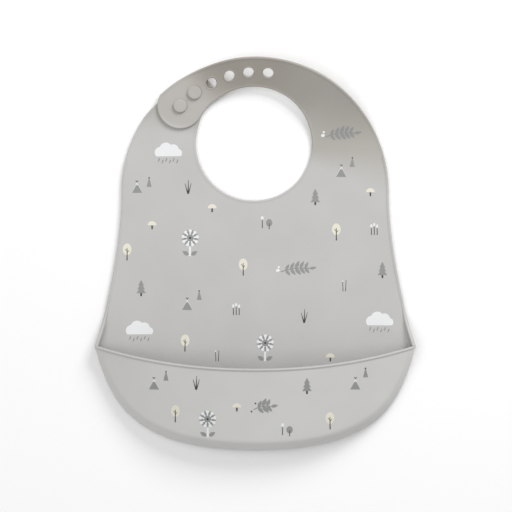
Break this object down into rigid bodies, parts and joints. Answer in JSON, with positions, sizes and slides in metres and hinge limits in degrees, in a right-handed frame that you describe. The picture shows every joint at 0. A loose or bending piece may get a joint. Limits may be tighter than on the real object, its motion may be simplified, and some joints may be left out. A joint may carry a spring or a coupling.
{
  "type": "silicone bib",
  "caption": "Soft moulded baby bib with a scoop-shaped catch pocket along the bottom and an adjustable neck strap closed by mushroom studs.",
  "frame": {"origin": "under the middle of the closed bib's outline, on the surface that its back lies on", "axes": "+X to the right of someone facing the bib's front, +Y from the pocket up to the neck strap, +Z out of the front face"},
  "size_m": [0.2444, 0.3, 0.036],
  "materials": {
    "grey_silicone": "matt moulded silicone",
    "pocket_silicone": "matt moulded silicone",
    "strap_silicone": "matt moulded silicone"
  },
  "bodies": {
    "base": {"lower_panel": "grey_silicone", "side_flange_right": "grey_silicone", "side_flange_left": "grey_silicone", "pocket_wall": "grey_silicone"},
    "pocket": {"pocket_front": "pocket_silicone"},
    "middle": {"mid_panel": "grey_silicone"},
    "chest": {"upper_panel": "grey_silicone"},
    "stud_arm": {"stud_tab": "grey_silicone", "stud_1": "grey_silicone", "stud_2": "grey_silicone"},
    "strap_root": {"strap_1": "strap_silicone"},
    "strap_rise": {"strap_2": "strap_silicone"},
    "strap_crown": {"strap_3": "strap_silicone"},
    "strap_fall": {"strap_4": "strap_silicone"},
    "strap_end": {"strap_5": "strap_silicone"}
  },
  "joints": [
    {"name": "pocket_open", "type": "hinge", "parent": "base", "child": "pocket", "pos_m": [0, -0.1405, 0.01915], "axis": [1, 0, 0], "range_deg": [-20, 20], "stiffness_Nm_per_rad": 0.3},
    {"name": "fold_lower", "type": "hinge", "parent": "base", "child": "middle", "pos_m": [0, -0.052, 0.00285], "axis": [1, 0, 0], "range_deg": [0, 75], "stiffness_Nm_per_rad": 0.014},
    {"name": "fold_upper", "type": "hinge", "parent": "middle", "child": "chest", "pos_m": [0, 0, 0.00285], "axis": [1, 0, 0], "range_deg": [0, 75], "stiffness_Nm_per_rad": 0.014},
    {"name": "strap_peel_1", "type": "hinge", "parent": "chest", "child": "strap_root", "pos_m": [0.04269, 0.09394, 0.002], "axis": [0.9703, 0.2419, 0], "range_deg": [0, 13], "stiffness_Nm_per_rad": 0.0014, "deforming": ["stud_1", "stud_2"]},
    {"name": "strap_peel_2", "type": "hinge", "parent": "strap_root", "child": "strap_rise", "pos_m": [0.03467, 0.11039, 0.00477], "axis": [0.7333, 0.5729, 0.3661], "range_deg": [0, 13], "stiffness_Nm_per_rad": 0.0014},
    {"name": "strap_peel_3", "type": "hinge", "parent": "strap_rise", "child": "strap_crown", "pos_m": [0.02066, 0.12215, 0.006], "axis": [0.4024, 0.7568, 0.515], "range_deg": [0, 13], "stiffness_Nm_per_rad": 0.0014},
    {"name": "strap_peel_4", "type": "hinge", "parent": "strap_crown", "child": "strap_fall", "pos_m": [0.00154, 0.12727, 0.006], "axis": [0.0299, 0.8566, 0.515], "range_deg": [0, 13], "stiffness_Nm_per_rad": 0.0014},
    {"name": "strap_peel_5", "type": "hinge", "parent": "strap_fall", "child": "strap_end", "pos_m": [-0.02066, 0.12215, 0.00382], "axis": [-0.4665, 0.8773, 0.1126], "range_deg": [0, 13], "stiffness_Nm_per_rad": 0.0014},
    {"name": "stud_arm_lift", "type": "hinge", "parent": "chest", "child": "stud_arm", "pos_m": [-0.04357, 0.08942, 0.002], "axis": [0.9903, -0.1392, 0], "range_deg": [0, 6.5], "stiffness_Nm_per_rad": 0.0014}
  ],
  "couplings": [
    {"joint": "fold_upper", "follows": "fold_lower", "ratio": 1},
    {"joint": "strap_peel_2", "follows": "strap_peel_1", "ratio": 1},
    {"joint": "strap_peel_3", "follows": "strap_peel_1", "ratio": 1},
    {"joint": "strap_peel_4", "follows": "strap_peel_1", "ratio": 1},
    {"joint": "strap_peel_5", "follows": "strap_peel_1", "ratio": 1},
    {"joint": "stud_arm_lift", "follows": "strap_peel_1", "ratio": 0.5}
  ]
}
